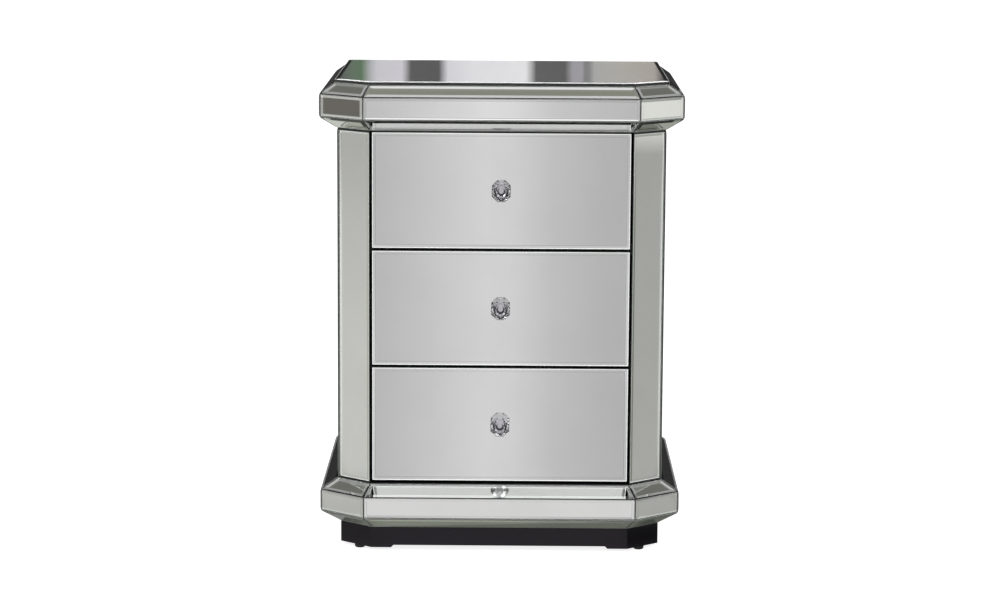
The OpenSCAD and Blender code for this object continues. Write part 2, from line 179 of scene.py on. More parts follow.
def join(tree, x, y, z):
    node = tree.nodes.new("ShaderNodeCombineXYZ")
    for value, socket in zip((x, y, z), node.inputs):
        put(tree, value, socket)
    return node.outputs[0]


def span(tree, value, low, high, to_low=0.0, to_high=1.0, smooth=True):
    """Maps a value from one range to another, eased at both ends unless Smooth is off."""
    node = tree.nodes.new("ShaderNodeMapRange")
    node.interpolation_type = "SMOOTHSTEP" if smooth else "LINEAR"
    for item, socket in zip((value, low, high, to_low, to_high), node.inputs):
        put(tree, item, socket)
    return node.outputs[0]


def near(tree, value, middle, inner, outer):
    """1 within Inner of Middle, fading to 0 at Outer."""
    off = maths(tree, "ABSOLUTE", maths(tree, "SUBTRACT", value, middle))
    return span(tree, off, inner, outer, 1.0, 0.0)


def both(tree, first, second):
    """Where two masks meet."""
    return maths(tree, "MULTIPLY", first, second)


def ramp(tree, value, stops):
    """A scale of greys or colours over a value from 0 to 1."""
    node = tree.nodes.new("ShaderNodeValToRGB")
    node.color_ramp.interpolation = "LINEAR"
    marks = node.color_ramp.elements
    while len(marks) < len(stops):
        marks.new(0.5)
    for mark, (place, shade) in zip(marks, stops):
        mark.position = place
        mark.color = (*shade, 1.0) if isinstance(shade, tuple) else (shade, shade, shade, 1.0)
    put(tree, value, node.inputs[0])
    return node.outputs[0]


def blend_colour(tree, factor, first, second, mode="MIX"):
    node = tree.nodes.new("ShaderNodeMix")
    node.data_type = "RGBA"
    node.blend_type = mode
    put(tree, factor, node.inputs[0])
    for value, socket in ((first, node.inputs[6]), (second, node.inputs[7])):
        put(tree, value if isinstance(value, bpy.types.NodeSocket) else (*value, 1.0), socket)
    return node.outputs[2]


def blend_value(tree, factor, first, second):
    node = tree.nodes.new("ShaderNodeMix")
    node.data_type = "FLOAT"
    put(tree, factor, node.inputs[0])
    put(tree, first, node.inputs[2])
    put(tree, second, node.inputs[3])
    return node.outputs[0]


def noise(tree, vector, scale, detail=2.0, roughness=0.5):
    node = tree.nodes.new("ShaderNodeTexNoise")
    put(tree, vector, node.inputs["Vector"])
    node.inputs["Scale"].default_value = scale
    node.inputs["Detail"].default_value = detail
    node.inputs["Roughness"].default_value = roughness
    return node.outputs["Fac"]


def object_position(tree):
    return tree.nodes.new("ShaderNodeTexCoord").outputs["Object"]


def bump(tree, height, strength, distance):
    node = tree.nodes.new("ShaderNodeBump")
    node.inputs["Strength"].default_value = strength
    node.inputs["Distance"].default_value = distance
    put(tree, height, node.inputs["Height"])
    return node.outputs["Normal"]


def new_material(name):
    material = bpy.data.materials.new(name)
    material.use_nodes = True
    tree = material.node_tree
    return material, tree, tree.nodes["Principled BSDF"]


def assign(material, *nodes):
    """Gives CAD nodes a finish in place of their plain one."""
    for name in nodes:
        for slot in frame["nodes"][name].material_slots:
            slot.material = material


def new_group(name, inputs, outputs):
    """An empty shader group of numbers, with its input and output sockets."""
    group = bpy.data.node_groups.new(name, "ShaderNodeTree")
    for way, labels in (("INPUT", inputs), ("OUTPUT", outputs)):
        for label in labels:
            group.interface.new_socket(label, in_out=way, socket_type="NodeSocketFloat")
    return group, group.nodes.new("NodeGroupInput").outputs, group.nodes.new("NodeGroupOutput").inputs


def use_group(tree, group, **values):
    node = tree.nodes.new("ShaderNodeGroup")
    node.node_tree = group
    for label, value in values.items():
        put(tree, value, node.inputs[label.capitalize()])
    return node.outputs


def facet_directions(plates):
    """Plan directions and distances of the front, the right corner and the right side."""
    along = Vector((plates.corner_w, plates.corner_d)).normalized()
    corner = Vector((along.y, -along.x))
    vertex = Vector((HALF_W - plates.corner_w, -HALF_D))
    return (
        (Vector((0.0, -1.0)), HALF_D),
        (corner, corner.dot(vertex)),
        (Vector((1.0, 0.0)), HALF_W),
    )


def plate_group(plates):
    """How deep a point of a plate lies under the plate's face, as a share of the bevel's drop.

    It is 0 on the flat, up to 1 on the bevel and more on the rim and the back. A plate leans back as the
    Cosine and Sine of its normal's elevation say, and passes through a profile point of Inset and Height.
    """
    group, given, result = new_group("Plate depth", ("Cosine", "Sine", "Inset", "Height"), ("Depth",))
    px, py, pz = split(group, object_position(group))
    half_place = join(group, maths(group, "ABSOLUTE", px), py, pz)
    lift = maths(group, "MULTIPLY", given["Sine"], given["Height"])
    nearest = None
    for plan, distance in facet_directions(plates):
        face = join(group, maths(group, "MULTIPLY", given["Cosine"], plan.x),
                    maths(group, "MULTIPLY", given["Cosine"], plan.y), given["Sine"])
        reach = maths(group, "MULTIPLY", given["Cosine"], maths(group, "SUBTRACT", distance, given["Inset"]))
        depth = maths(group, "SUBTRACT", maths(group, "ADD", reach, lift),
                      vectors(group, "DOT_PRODUCT", face, half_place))
        nearest = depth if nearest is None else maths(group, "MINIMUM", nearest, depth)
    put(group, maths(group, "DIVIDE", nearest, plates.bevel_drop), result["Depth"])
    return group


GLASS_IOR = 1.52
CRYSTAL_IOR = 1.6
# Where the parts of a plate lie, as shares of the bevel's drop
# Where the painted dark line of shade at the start of a bevel lies:
ARRIS_SHADE_LINE = (0.055, 0.035, 0.055)  # middle, half width, faded half width
# Seamed edge, rough and glowing as a painted highlight: middle, half width, faded half width
SEAMED_EDGE_GLINT = (0.96, 0.04, 0.07)
RIM = (1.02, 1.08)  # its start, faded and full
RIM_ROUGHNESS = 0.85
EDGE_ROUGHNESS = 0.8
DUSTY_REACH = (0.19, 0.24)  # half length of the dusty run of a plate, and where only a trace is left


def glass_material(name, shape, plates, elevation, inset, height, dust=0.0, painted=0.0, painted_glint=1.0):
    """Clear glass with a dark rim, a frosty seamed edge with a painted highlight that glows, a painted dark
    line of shade where a bevel starts, wipe marks, and dust painted as a faint glow.

    Painted is the outer share of the bevel that black edge paint covers, and the last argument the
    strength of the painted highlight that glows on the seamed edge.
    """
    material, tree, shader = new_material(name)
    depth = use_group(tree, shape, cosine=math.cos(elevation), sine=math.sin(elevation),
                      inset=inset, height=height)[0]
    place = object_position(tree)
    on_rim = span(tree, depth, *(edge - painted for edge in RIM))
    arris_shade = near(tree, depth, *ARRIS_SHADE_LINE)
    frosted_edge_glint = near(tree, depth, SEAMED_EDGE_GLINT[0] - painted, *SEAMED_EDGE_GLINT[1:])
    # Painted shade: a dark line where the bevel starts
    tint_and_arris_shade = blend_colour(tree, arris_shade, tuple(plates.glass), tuple(plates.arris_shade))
    put(tree, blend_colour(tree, on_rim, tint_and_arris_shade, tuple(plates.rim)), shader.inputs["Base Color"])
    wipes = noise(tree, vectors(tree, "MULTIPLY", place, (9.0, 9.0, 30.0)), 1.0, 4.0, 0.6)
    polish = blend_value(tree, on_rim, span(tree, wipes, 0.55, 0.8, 0.0, 0.025), RIM_ROUGHNESS)
    put(tree, blend_value(tree, frosted_edge_glint, polish, EDGE_ROUGHNESS), shader.inputs["Roughness"])
    # Painted light: the dust glows, patchy with the wipe marks and fainter on the bevels and at the ends
    film_glow = blend_colour(tree, wipes, scaled(plates.film_glow, 0.7 * dust), scaled(plates.film_glow, 1.3 * dust))
    aside = maths(tree, "ABSOLUTE", split(tree, place)[0])
    clean = maths(tree, "MAXIMUM", span(tree, depth, 0.0, 0.1), span(tree, aside, *DUSTY_REACH))
    film_glow = blend_colour(tree, clean, film_glow, scaled(plates.film_glow, 0.35 * dust))
    # Painted highlight: the seamed edge glows
    glow = blend_colour(tree, frosted_edge_glint, film_glow, scaled(plates.frosted_edge_glint, painted_glint))
    put(tree, glow, shader.inputs["Emission Color"])
    shader.inputs["Emission Strength"].default_value = 1.0
    put(tree, bump(tree, noise(tree, place, 5.0, 1.0), 0.3, 0.3 * MM), shader.inputs["Normal"])
    shader.inputs["IOR"].default_value = GLASS_IOR
    shader.inputs["Transmission Weight"].default_value = 1.0
    return material


def silver_material(plates):
    """The silver coat, a little cloudy here and there."""
    material, tree, shader = new_material("Silver coat")
    cloud = noise(tree, object_position(tree), 12.0, 3.0)
    shade = tuple(plates.silver)
    put(tree, blend_colour(tree, span(tree, cloud, 0.35, 0.7), shade, scaled(shade, 0.975)),
        shader.inputs["Base Color"])
    put(tree, span(tree, cloud, 0.4, 0.8, 0.0, 0.012), shader.inputs["Roughness"])
    shader.inputs["Metallic"].default_value = 1.0
    return material


def islands(faces):
    """Sets of faces that hang together."""
    left = set(faces)
    while left:
        found = {left.pop()}
        edge = list(found)
        while edge:
            for side in edge.pop().edges:
                for face in side.link_faces:
                    if face in left:
                        left.discard(face)
                        found.add(face)
                        edge.append(face)
        yield found


def plate_back(plate, upright):
    """Faces of the back of one plate: of its two largest flats, the one that looks to the inside."""
    flats = {}
    for face in plate:
        flats.setdefault(tuple(round(v, 2) for v in face.normal), []).append(face)
    area = sum(face.calc_area() for face in plate)
    middle = sum((face.calc_center_median() * face.calc_area() for face in plate), Vector()) / area
    outward = Vector((middle.x, middle.y, 0.0)).normalized() if upright else Vector((0.0, 0.0, 1.0))
    largest = sorted(flats.items(), key=lambda flat: -sum(face.calc_area() for face in flat[1]))[:2]
    return min(largest, key=lambda flat: Vector(flat[0]).dot(outward))[1]


COAT_GAP = 0.02 * MM  # how deep a coat lies under its surface
SILVER_MARGIN = 0.1 * MM
FOIL_THICKNESS = 0.05 * MM
FOIL_MARGIN = 0.2 * MM


def coat(name, node, pick, thickness, margin, finish):
    """A thin closed shell just inside a node's surface, under the faces that Pick chooses.

    It stops short of their outer edges by Margin.
    """
    shape = bmesh.new()
    shape.from_mesh(frame["nodes"][node].data)
    bmesh.ops.remove_doubles(shape, verts=shape.verts[:], dist=1e-6)
    chosen = set(pick(shape))
    bmesh.ops.delete(shape, geom=[face for face in shape.faces if face not in chosen], context="FACES")
    rims = bmesh.ops.inset_region(shape, faces=shape.faces[:], thickness=margin, use_even_offset=True)
    bmesh.ops.delete(shape, geom=rims["faces"], context="FACES")
    shape.normal_update()
    for corner in shape.verts:
        corner.co -= corner.link_faces[0].normal * (thickness + COAT_GAP)
    bmesh.ops.solidify(shape, geom=shape.faces[:], thickness=-thickness)
    bmesh.ops.recalc_face_normals(shape, faces=shape.faces[:])
    piece = new_piece(name, shape, finish)
    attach(piece, body_of(node))
    slot_of(node)


def per_drawer(part):
    """The three nodes of a part that each drawer has."""
    return [f"{part}_{n}" for n in DRAWERS]


def body_of(node):
    return next(body for body, nodes in frame["record"]["behaviour"]["bodies"].items() if node in nodes)


def slot_of(node):
    return next(part["material_slot"] for part in frame["record"]["subparts"] if part["node"] == node)


def faces_to_rear(shape):
    return [face for face in shape.faces if face.normal.y > 0.9]


def silver_coat(node, plates, finish):
    """The silver on the back of each plate of a node."""
    def backs(shape):
        return [face for plate in islands(shape.faces) for face in plate_back(plate, node != "top_mirror")]
    coat("silver_" + node, node, backs, plates.coat, SILVER_MARGIN, finish)


def new_piece(name, shape, finish):
    """Turns a bmesh into an object with one finish."""
    mesh = bpy.data.meshes.new(name)
    shape.to_mesh(mesh)
    shape.free()
    mesh.materials.append(finish)
    piece = bpy.data.objects.new(name, mesh)
    bpy.context.scene.collection.objects.link(piece)
    return piece


class CHEST_OT_mirrors(bpy.types.Operator):
    """Give every plate its glass, with bevels and ground rims, and the silver behind it"""
    bl_idname = "chest.mirrors"
    bl_label = "Mirror plates"

    def execute(self, context):
        plates = settings("chest_plates")
        shape = plate_group(plates)
        half_seam = plates.seam / 2
        wall_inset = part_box("drawer_mirror_1")[0][1] + HALF_D
        plinth_inset = HALF_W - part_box("plinth_side_boards")[1][0]
        slope_inset = HALF_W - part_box("top_mirror")[1][0]
        top_band, base_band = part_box("top_band_mirrors"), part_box("base_band_mirrors")
        posts, top_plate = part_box("corner_posts"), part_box("top_mirror")
        # Upper and lower ends of each sloping course, as inset and height
        slopes = {
            "top_slope_mirrors": ((slope_inset, top_plate[0][2]), (0.0, top_band[1][2] + half_seam)),
            "top_under_mirrors": ((0.0, top_band[0][2] - half_seam), (wall_inset, posts[1][2])),
            "base_slope_mirrors": ((wall_inset, posts[0][2]), (0.0, base_band[1][2] + half_seam)),
            "base_under_mirrors": ((0.0, base_band[0][2] - half_seam),
                                   (plinth_inset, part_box("base_core_front")[0][2])),
        }
        for node, (upper, lower) in slopes.items():
            rise = math.atan2(upper[0] - lower[0], upper[1] - lower[1])
            # Only the under-slope plates under the base get the dust, painted as a glow
            dust = 1.0 if node == "base_under_mirrors" else 0.0
            assign(glass_material("Glass " + node, shape, plates, rise, *upper, dust=dust), node)
        assign(glass_material("Glass bands", shape, plates, 0.0, 0.0, 0.0),
               "top_band_mirrors", "base_band_mirrors")
        # The walls and drawers get a stronger painted highlight on their seamed edges
        assign(glass_material("Glass walls", shape, plates, 0.0, wall_inset, 0.0, painted=0.15, painted_glint=1.8),
               "side_mirror_left", "side_mirror_right", *per_drawer("drawer_mirror"))
        assign(glass_material("Glass pilasters", shape, plates, 0.0, wall_inset, 0.0, painted=0.35),
               "pilaster_mirror_left", "pilaster_mirror_right")
        assign(glass_material("Glass top", shape, plates, math.pi / 2, 0.0, TOP_Z), "top_mirror")
        silver = silver_material(plates)
        for node in frame["nodes"]:
            if "mirror" in node:
                silver_coat(node, plates, silver)
        return {"FINISHED"}


def black_paint(shade):
    """Satin paint with a fine orange peel."""
    material, tree, shader = new_material("Black satin paint")
    place = object_position(tree)
    patches = noise(tree, place, 40.0, 3.0)
    put(tree, blend_colour(tree, patches, shade, scaled(shade, 1.25)), shader.inputs["Base Color"])
    put(tree, span(tree, patches, 0.3, 0.7, 0.34, 0.46), shader.inputs["Roughness"])
    put(tree, bump(tree, noise(tree, place, 900.0, 2.0), 0.15, 0.1 * MM), shader.inputs["Normal"])
    return material


DUSTY_FOOT = (6 * MM, 20 * MM)  # height up to which the plinth is dusty, and where the dust has gone


def plinth_lacquer(shade):
    """Smooth black lacquer, a little dusty towards the floor."""
    material, tree, shader = new_material("Plinth lacquer")
    place = object_position(tree)
    height = split(tree, place)[2]
    low = span(tree, height, *DUSTY_FOOT, 1.0, 0.0)
    dust = both(tree, low, noise(tree, place, 220.0, 4.0))
    put(tree, blend_colour(tree, dust, shade, scaled(shade, 2.4)), shader.inputs["Base Color"])
    put(tree, span(tree, noise(tree, place, 30.0, 3.0), 0.3, 0.7, 0.12, 0.2), shader.inputs["Roughness"])
    put(tree, bump(tree, noise(tree, place, 260.0, 2.0), 0.12, 0.1 * MM), shader.inputs["Normal"])
    shader.inputs["Specular IOR Level"].default_value = 0.32
    shader.inputs["Specular Tint"].default_value = (0.95, 0.90, 1.0, 1.0)
    return material


# The back's countersunk screws, by distance from the screw's middle
SCREW_HEAD = (3.4 * MM, 3.7 * MM)
SCREW_SHADOW = (3.8 * MM, 0.2 * MM, 0.5 * MM)  # middle, half width, faded half width
# the screw's recess, painted near black as shade
SCREW_RECESS_SHADE = (1.1 * MM, 1.4 * MM)
SCREW_INSET = 9 * MM
SCREW_ROWS = 5


def fibreboard(name, shade, screws=()):
    """Bare board with flecks and long fibres, and screw heads at points of the back's right half, each with a
    painted shadow round it and painted shade in its recess.

    The left half mirrors the right one.
    """
    material, tree, shader = new_material(name)
    place = object_position(tree)
    fleck = noise(tree, place, 700.0, 3.0, 0.7)
    fibres = noise(tree, vectors(tree, "MULTIPLY", place, (260.0, 260.0, 40.0)), 1.0, 4.0, 0.65)
    mottle = noise(tree, place, 9.0, 2.0)
    tone = maths(tree, "ADD", maths(tree, "MULTIPLY", fleck, 0.5), maths(tree, "MULTIPLY", fibres, 0.5))
    board = blend_colour(tree, span(tree, tone, 0.3, 0.7), scaled(shade, 0.66), scaled(shade, 1.2))
    board = blend_colour(tree, span(tree, mottle, 0.35, 0.65, 0.0, 0.25), board, scaled(shade, 0.8))
    relief = bump(tree, tone, 0.25, 0.2 * MM)
    metal, rough = 0.0, 0.75
    if screws:
        x, _, z = split(tree, place)
        flat = join(tree, maths(tree, "ABSOLUTE", x), 0.0, z)
        nearest = None
        for side, height in screws:
            gap = vectors(tree, "LENGTH", vectors(tree, "SUBTRACT", flat, (side, 0.0, height)))
            nearest = gap if nearest is None else maths(tree, "MINIMUM", nearest, gap)
        head = span(tree, nearest, *SCREW_HEAD, 1.0, 0.0)
        shadow = near(tree, nearest, *SCREW_SHADOW)
        recess = span(tree, nearest, *SCREW_RECESS_SHADE, 1.0, 0.0)
        board = blend_colour(tree, shadow, board, scaled(shade, 0.3))
        board = blend_colour(tree, head, board, (0.50, 0.47, 0.40))
        # Painted shade in the recess
        board = blend_colour(tree, recess, board, (0.04, 0.04, 0.04))
        metal = maths(tree, "SUBTRACT", head, recess, clamp=True)
        rough = span(tree, head, 0.0, 1.0, 0.75, 0.35)
    put(tree, board, shader.inputs["Base Color"])
    put(tree, metal, shader.inputs["Metallic"])
    put(tree, rough, shader.inputs["Roughness"])
    put(tree, relief, shader.inputs["Normal"])
    return material


PLIES = 7
PLY_THICKNESS = 12 * MM
GRAIN_ALONG_X = (3.0, 60.0, 60.0)
GRAIN_ALONG_Y = (60.0, 3.0, 60.0)


def birch_ply(name, shade, stretch, across=None, top=None):
    """Lacquered birch with its grain along the board.

    With the axis Across the board and the height of its Top, the plies show on the upper edge.
    """
    material, tree, shader = new_material(name)
    place = object_position(tree)
    grain = noise(tree, vectors(tree, "MULTIPLY", place, stretch), 1.0, 4.0, 0.6)
    pores = noise(tree, vectors(tree, "MULTIPLY", place, scaled(stretch, 7)), 1.0, 2.0)
    wood = blend_colour(tree, span(tree, grain, 0.3, 0.7), scaled(shade, 0.78), shade)
    wood = blend_colour(tree, span(tree, pores, 0.6, 0.75, 0.0, 0.35), wood, scaled(shade, 0.55))
    if across is not None:
        parts = split(tree, place)
        share = maths(tree, "DIVIDE", maths(tree, "ABSOLUTE", parts[across]), PLY_THICKNESS / PLIES)
        dark = span(tree, maths(tree, "PINGPONG", share, 1.0), 0.42, 0.58)
        edge = blend_colour(tree, dark, scaled(shade, 0.95), scaled(shade, 0.5))
        wood = blend_colour(tree, span(tree, parts[2], top - 0.1 * MM, top - 0.05 * MM), wood, edge)
    put(tree, wood, shader.inputs["Base Color"])
    put(tree, span(tree, grain, 0.3, 0.7, 0.38, 0.5), shader.inputs["Roughness"])
    put(tree, bump(tree, grain, 0.15, 0.1 * MM), shader.inputs["Normal"])
    return material


class CHEST_OT_boards(bpy.types.Operator):
    """Paint the black boards and finish the bare ones"""
    bl_idname = "chest.boards"
    bl_label = "Boards"

    def execute(self, context):
        finishes = settings("chest_finishes")
        assign(black_paint(tuple(finishes.black)), "top_core_front", "top_core_corners", "top_core_sides",
               "corner_posts", "side_panels", "drawer_rails", "base_core_front", "base_core_corners",
               "base_core_sides", "case_floor", *per_drawer("drawer_front_board"))
        assign(plinth_lacquer(tuple(finishes.plinth)), "plinth_front_board", "plinth_corner_boards",
               "plinth_side_boards", "plinth_back_board")
        low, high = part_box("back_panel")
        pitch = (high[2] - low[2] - 2 * SCREW_INSET) / (SCREW_ROWS - 1)
        rows = [low[2] + SCREW_INSET + pitch * k for k in range(SCREW_ROWS)]
        screws = [(high[0] - SCREW_INSET, row) for row in rows]
        screws += [(side, row) for side in (0.0, high[0] / 2) for row in (rows[0], rows[-1])]
        assign(fibreboard("Back board", tuple(finishes.board), screws), "back_panel")
        assign(fibreboard("Fibreboard", tuple(finishes.board)), "top_board", "slide_battens")
        shade = tuple(finishes.birch)
        for n in DRAWERS:
            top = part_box(f"drawer_sides_{n}")[1][2]
            assign(birch_ply(f"Birch side {n}", shade, GRAIN_ALONG_Y, 0, top), f"drawer_sides_{n}")
            assign(birch_ply(f"Birch back {n}", shade, GRAIN_ALONG_X, 1, top), f"drawer_back_{n}")
        assign(birch_ply("Birch bottom", shade, GRAIN_ALONG_X), *per_drawer("drawer_bottom"))
        return {"FINISHED"}


SLIDE_GAUGE = 1.3 * MM
GAP_SHADE_LEN = 11 * MM  # length of the black painted shade over the front ends of the slides
SCREW_SHARES = (0.08, 0.46, 0.9)  # places of the slide screws along the channel
PAN_RADIUS = 3.6 * MM
PAN_HEIGHT = 1.6 * MM
PAN_CROWN = 0.7  # radius of the crown, as a share of the head's
PAN_RIM = 0.35  # width of the ring round the recess, as the same share
PAN_RECESS = 0.4  # depth of the recess, as a share of the head's height
BALL_RADIUS = 1.7 * MM
BALL_INSET = 2.4 * MM  # from the inside of the channel's flange to the middle of a row of balls
CAGE_START = 6 * MM
CAGE_LEN = 70 * MM
CAGE_WIDTH = 4.4 * MM
CAGE_GAUGE = 0.8 * MM
CAGE_EDGE = 0.25 * MM
CAGE_BALLS = 12
BEADS = 28
BEAD_RADIUS = 0.8 * MM
BEAD_INSET = 0.9 * MM  # from the edge of the rose to the middle of a bead
BEAD_RISE = 1.0 * MM  # from the foot of the rose to the middle of a bead


def zinc_plate(shade, plastic):
    """Zinc with faint crystals and drawing lines along the slide, and black painted shade over the front
    ends.
    """
    material, tree, shader = new_material("Zinc plate")
    place = object_position(tree)
    cells = tree.nodes.new("ShaderNodeTexVoronoi")
    put(tree, place, cells.inputs["Vector"])
    cells.inputs["Scale"].default_value = 90.0
    spangle = split(tree, cells.outputs["Color"])[0]
    lines = noise(tree, vectors(tree, "MULTIPLY", place, (900.0, 8.0, 900.0)), 1.0, 3.0)
    zinc = blend_colour(tree, spangle, scaled(shade, 0.9), shade)
    # Painted shade: the front ends of the slides, seen in the gaps, are black
    gap_shade_end = max(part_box(node)[0][1] for node in ("case_channels", "drawer_channels_1")) + GAP_SHADE_LEN
    steel = span(tree, split(tree, place)[1], gap_shade_end, gap_shade_end + 0.2 * MM)
    put(tree, blend_colour(tree, steel, plastic, zinc), shader.inputs["Base Color"])
    drawn = span(tree, lines, 0.3, 0.7, 0.3, 0.42)
    put(tree, blend_value(tree, steel, 0.6, drawn), shader.inputs["Roughness"])
    put(tree, steel, shader.inputs["Metallic"])
    return material


def polished(name, shade, low, high, scale):
    """Polished metal, clouded a little between two roughnesses."""
    material, tree, shader = new_material(name)
    put(tree, span(tree, noise(tree, object_position(tree), scale, 3.0), 0.3, 0.7, low, high),
        shader.inputs["Roughness"])
    shader.inputs["Base Color"].default_value = (*shade, 1.0)
    shader.inputs["Metallic"].default_value = 1.0
    return material


FOIL_SHADE_EDGE = (0.3, 0.42)  # where the painted shade on the foil starts and where it is full, as shares of the radius of the rose
FOIL_SHADE_LEAN = -0.5  # how much sooner the painted shade sets in towards the bottom


def knob_foil(shade):
    """Silver foil, bright in the middle, with painted shade round its edge and more of it at the bottom of
    each knob.
    """
    material, tree, shader = new_material("Knob foil")
    x, _, z = split(tree, object_position(tree))
    nearest, shaded_reach = None, None
    for n in DRAWERS:
        low, high = (Vector(corner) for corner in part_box(f"knob_crystal_{n}"))
        middle = (low + high) / 2
        across = maths(tree, "SUBTRACT", x, middle.x)
        above = maths(tree, "SUBTRACT", z, middle.z)
        reach = vectors(tree, "LENGTH", join(tree, across, 0.0, above))
        lean = maths(tree, "ADD", reach, maths(tree, "MULTIPLY", above, FOIL_SHADE_LEAN))
        if nearest is None:
            nearest, shaded_reach = reach, lean
        else:
            shaded_reach = blend_value(tree, maths(tree, "LESS_THAN", reach, nearest), shaded_reach, lean)
            nearest = maths(tree, "MINIMUM", nearest, reach)
    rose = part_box("knob_rose_1")
    radius = (rose[1][0] - rose[0][0]) / 2
    # Painted shade on the foil
    dark = span(tree, shaded_reach, *(share * radius for share in FOIL_SHADE_EDGE))
    put(tree, blend_colour(tree, dark, shade, (0.03, 0.03, 0.035)), shader.inputs["Base Color"])
    put(tree, span(tree, noise(tree, object_position(tree), 300.0, 3.0), 0.3, 0.7, 0.04, 0.12),
        shader.inputs["Roughness"])
    shader.inputs["Metallic"].default_value = 1.0
    return material


def cut_crystal(shade):
    """Lead crystal with faint streaks."""
    material, tree, shader = new_material("Cut crystal")
    streaks = noise(tree, object_position(tree), 260.0, 2.0)
    put(tree, blend_colour(tree, streaks, shade, scaled(shade, 0.93)), shader.inputs["Base Color"])
    shader.inputs["Roughness"].default_value = 0.0
    shader.inputs["IOR"].default_value = CRYSTAL_IOR
    shader.inputs["Transmission Weight"].default_value = 1.0
    return material


def pan_head(shape, centre, outward, radius, height):
    """Adds a tapered screw head with a recess, standing on a face that looks outward along x."""
    quarter_turn = Matrix.Rotation(math.copysign(math.pi / 2, outward), 4, "Y")
    place = Matrix.Translation(Vector(centre) + Vector((outward * height / 2, 0.0, 0.0))) @ quarter_turn
    head = bmesh.ops.create_cone(shape, cap_ends=True, segments=24, radius1=radius,
                                 radius2=PAN_CROWN * radius, depth=height, matrix=place)
    crown = max((face for corner in head["verts"] for face in corner.link_faces),
                key=lambda face: face.calc_center_median().x * outward)
    bmesh.ops.inset_region(shape, faces=[crown], thickness=PAN_RIM * radius)
    for corner in crown.verts:
        corner.co.x -= outward * PAN_RECESS * height


def slide_screws(n, finish):
    """Three pan-head screws through the web of each drawer channel."""
    low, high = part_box(f"drawer_channels_{n}")
    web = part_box(f"drawer_sides_{n}")[1][0] + SLIDE_GAUGE
    shape = bmesh.new()
    for side in (-1, 1):
        for share in SCREW_SHARES:
            y = low[1] + share * (high[1] - low[1])
            pan_head(shape, (side * web, y, (low[2] + high[2]) / 2), side, PAN_RADIUS, PAN_HEIGHT)
    piece = new_piece(f"slide_screws_{n}", shape, finish)
    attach(piece, f"drawer_{n}")


def ball_cages(n, finish):
    """Two rows of steel balls inside each middle channel, each row through a flat strip."""
    low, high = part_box(f"drawer_channels_{n}")
    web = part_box(f"drawer_sides_{n}")[1][0]
    depth = (web + SLIDE_GAUGE + high[0]) / 2
    middle = (low[2] + high[2]) / 2
    row_z = (high[2] - low[2]) / 2 - SLIDE_GAUGE - BALL_INSET
    shape = bmesh.new()
    for side in (-1, 1):
        for row in (-1, 1):
            centre = Vector((side * depth, low[1] + CAGE_START + CAGE_LEN / 2, middle + row * row_z))
            size = Matrix.Diagonal((CAGE_WIDTH, CAGE_LEN, CAGE_GAUGE, 1.0))
            strip = bmesh.ops.create_cube(shape, size=1.0, matrix=Matrix.Translation(centre) @ size)
            edges = {edge for corner in strip["verts"] for edge in corner.link_edges}
            bmesh.ops.bevel(shape, geom=list(edges), offset=CAGE_EDGE, segments=2, profile=0.5,
                            affect="EDGES", material=-1)
            for k in range(CAGE_BALLS):
                y = low[1] + CAGE_START + CAGE_LEN * (k + 0.5) / CAGE_BALLS
                bmesh.ops.create_icosphere(shape, subdivisions=2, radius=BALL_RADIUS,
                                           matrix=Matrix.Translation((centre.x, y, centre.z)))
    piece = new_piece(f"ball_cages_{n}", shape, finish)
    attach(piece, f"middle_slides_{n}")


def beaded_ring(n, finish):
    """A ring of small beads round the foot of a knob's rose."""
    low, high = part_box(f"knob_rose_{n}")
    centre = Vector(((low[0] + high[0]) / 2, high[1] - BEAD_RISE, (low[2] + high[2]) / 2))
    reach = (high[0] - low[0]) / 2 - BEAD_INSET
    shape = bmesh.new()
    for k in range(BEADS):
        around = 2 * math.pi * k / BEADS
        bead = centre + Vector((reach * math.cos(around), 0.0, reach * math.sin(around)))
        bmesh.ops.create_icosphere(shape, subdivisions=2, radius=BEAD_RADIUS, matrix=Matrix.Translation(bead))
    piece = new_piece(f"knob_beads_{n}", shape, finish)
    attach(piece, f"drawer_{n}")


class CHEST_OT_fittings(bpy.types.Operator):
    """Plate the slides, put balls and screws in them, and dress the knobs"""
    bl_idname = "chest.fittings"
    bl_label = "Fittings"

    def execute(self, context):
        finishes = settings("chest_finishes")
        assign(zinc_plate(tuple(finishes.steel), tuple(finishes.plastic)), "case_channels",
               *per_drawer("drawer_channels"), *per_drawer("middle_channels"))
        chrome = polished("Chrome", tuple(finishes.chrome), 0.03, 0.09, 120.0)
        foil = knob_foil(tuple(finishes.foil))
        screw_steel = polished("Screw steel", tuple(finishes.screw), 0.2, 0.32, 200.0)
        ball_steel = polished("Ball steel", tuple(finishes.chrome), 0.08, 0.16, 200.0)
        assign(chrome, *per_drawer("knob_rose"))
        assign(screw_steel, *per_drawer("knob_screw"))
        assign(cut_crystal(tuple(finishes.crystal)), *per_drawer("knob_crystal"))
        plastic, tree, shader = new_material("Glide plastic")
        put(tree, span(tree, noise(tree, object_position(tree), 500.0, 3.0), 0.3, 0.7, 0.4, 0.6),
            shader.inputs["Roughness"])
        shader.inputs["Base Color"].default_value = (*finishes.plastic, 1.0)
        assign(plastic, "glides")
        for n in DRAWERS:
            coat(f"knob_foil_{n}", f"knob_crystal_{n}", faces_to_rear, FOIL_THICKNESS, FOIL_MARGIN, foil)
            beaded_ring(n, chrome)
            slide_screws(n, screw_steel)
            ball_cages(n, ball_steel)
        return {"FINISHED"}


def seen_in_glass(tree):
    """Whether a ray left a mirror, metal or glass, and whether it comes from the camera."""
    path = tree.nodes.new("ShaderNodeLightPath").outputs
    return maths(tree, "MAXIMUM", path["Is Glossy Ray"], path["Is Transmission Ray"]), path["Is Camera Ray"]


